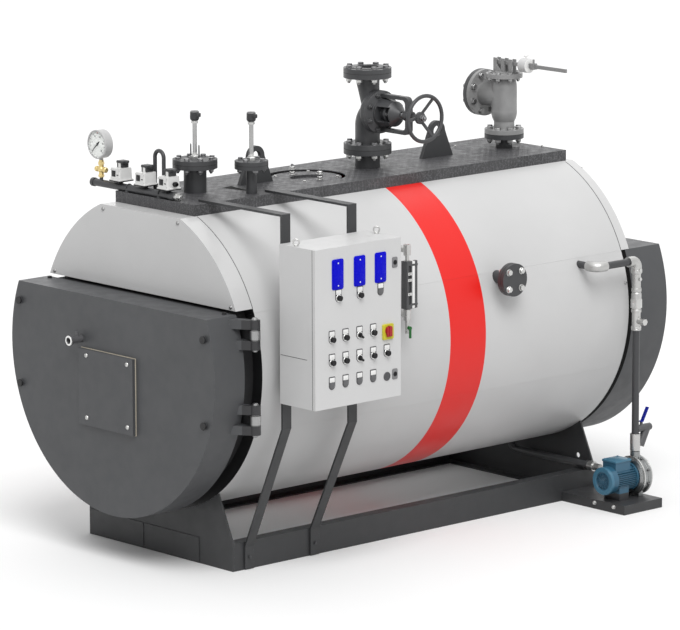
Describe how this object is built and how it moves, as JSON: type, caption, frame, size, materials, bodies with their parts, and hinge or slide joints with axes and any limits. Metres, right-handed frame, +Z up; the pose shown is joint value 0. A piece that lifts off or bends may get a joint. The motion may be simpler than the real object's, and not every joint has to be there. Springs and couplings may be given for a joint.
{
  "type": "packaged horizontal fire-tube steam boiler",
  "caption": "Horizontal fire-tube steam boiler on a steel base with hinged burner door, top walkway, steam and safety valves, gauges, control panel and feed pump.",
  "frame": {"origin": "on the floor under the boiler axis, in the middle of the front foot of the base", "axes": "+Y from the burner door to the smoke box along the boiler, +X to the control panel side, +Z up"},
  "size_m": [1.713, 2.9415, 2.068],
  "materials": {
    "base_paint": "satin charcoal paint",
    "door_paint": "satin dark grey paint",
    "cladding": "light grey sheet with a red band",
    "cover_sheet": "light grey sheet",
    "walkway_plate": "dark grey non-slip plate",
    "vessel_steel": "dark primer on steel plate",
    "black_pipe": "dark painted pipe and flanges",
    "valve_iron": "dark painted casting",
    "valve_grey": "grey painted casting",
    "probe_steel": "plain steel rod with a black head",
    "switch_white": "white housing with a black plug",
    "gauge_steel": "polished case with a white dial",
    "brass": "machined brass",
    "panel_paint": "light grey textured paint",
    "display_plastic": "dark frame with a blue screen",
    "control_plastic": "black knobs and coloured buttons",
    "handle_red": "red",
    "motor_blue": "blue paint",
    "pump_stainless": "pressed stainless steel",
    "fitting_steel": "bright fitting",
    "lever_blue": "blue sleeve",
    "handle_green": "green",
    "refractory": "cast refractory, chalky",
    "tube_steel": "scaled steel tube"
  },
  "bodies": {
    "boiler": {"base_rails": "base_paint", "blind_stub": "black_pipe", "branch_valve": "fitting_steel", "drain_pipe": "fitting_steel", "feed_fittings": "fitting_steel", "feed_pipe": "black_pipe", "fire_tubes": "tube_steel", "front_cover": "cover_sheet", "front_cradle": "base_paint", "front_frame": "vessel_steel", "front_tube_plate": "vessel_steel", "furnace": "tube_steel", "gauge_cock": "brass", "level_cocks": "black_pipe", "level_gauge": "black_pipe", "level_probes": "probe_steel", "lifting_lugs": "base_paint", "manhole_cover": "walkway_plate", "manhole_neck": "vessel_steel", "manifold": "black_pipe", "panel_cabinet": "panel_paint", "panel_straps": "base_paint", "pressure_gauge": "gauge_steel", "pressure_switches": "switch_white", "pressure_vessel": "vessel_steel", "probe_nozzles": "black_pipe", "pump_casing": "pump_stainless", "pump_motor": "motor_blue", "pump_skid": "base_paint", "rear_cradle": "base_paint", "rear_hood": "cover_sheet", "rear_tube_plate": "vessel_steel", "safety_counter_flange": "valve_iron", "safety_nozzle": "black_pipe", "safety_valve_body": "valve_grey", "safety_valve_cover": "valve_grey", "shell_cladding": "cladding", "smoke_box": "door_paint", "steam_counter_flange": "valve_iron", "steam_nozzle": "black_pipe", "stop_valve_body": "valve_iron", "stop_valve_bonnet": "valve_iron", "walkway": "walkway_plate"},
    "burner_door": {"burner_door": "door_paint", "door_lining": "refractory", "burner_plate": "door_paint", "door_clamps": "black_pipe", "sight_tube": "fitting_steel"},
    "panel_door": {"panel_door": "panel_paint", "panel_displays": "display_plastic", "panel_controls": "control_plastic"},
    "main_switch": {"main_switch": "handle_red"},
    "handwheel": {"handwheel": "valve_iron"},
    "safety_lever": {"safety_lever": "valve_grey"},
    "ball_valve_lever": {"ball_valve_lever": "lever_blue"},
    "drain_cock_handle": {"drain_cock_handle": "handle_green"}
  },
  "joints": [
    {"name": "burner_door_hinge", "type": "hinge", "parent": "boiler", "child": "burner_door", "pos_m": [0.735, -0.1, 0.9], "axis": [0, 0, 1], "range_deg": [0, 100]},
    {"name": "panel_door_hinge", "type": "hinge", "parent": "boiler", "child": "panel_door", "pos_m": [0.9725, 0.021, 1.14], "axis": [0, 0, -1], "range_deg": [0, 110]},
    {"name": "main_switch_turn", "type": "hinge", "parent": "panel_door", "child": "main_switch", "pos_m": [1, 0.439, 1.09], "axis": [-1, 0, 0], "range_deg": [0, 90]},
    {"name": "stop_valve_wheel", "type": "hinge", "parent": "boiler", "child": "handwheel", "pos_m": [0.384, 1.23, 1.869], "axis": [1, 0, 0], "range_deg": [0, 2160]},
    {"name": "safety_lever_lift", "type": "hinge", "parent": "boiler", "child": "safety_lever", "pos_m": [-0.048, 2.098, 2.005], "axis": [0, -1, 0], "range_deg": [0, 10]},
    {"name": "ball_valve_turn", "type": "hinge", "parent": "boiler", "child": "ball_valve_lever", "pos_m": [0.77, 2.246, 0.38], "axis": [0, 0, 1], "range_deg": [0, 90]},
    {"name": "drain_cock_turn", "type": "hinge", "parent": "boiler", "child": "drain_cock_handle", "pos_m": [0.775, 0.77, 1.025], "axis": [1, 0, 0], "range_deg": [0, 90]}
  ]
}
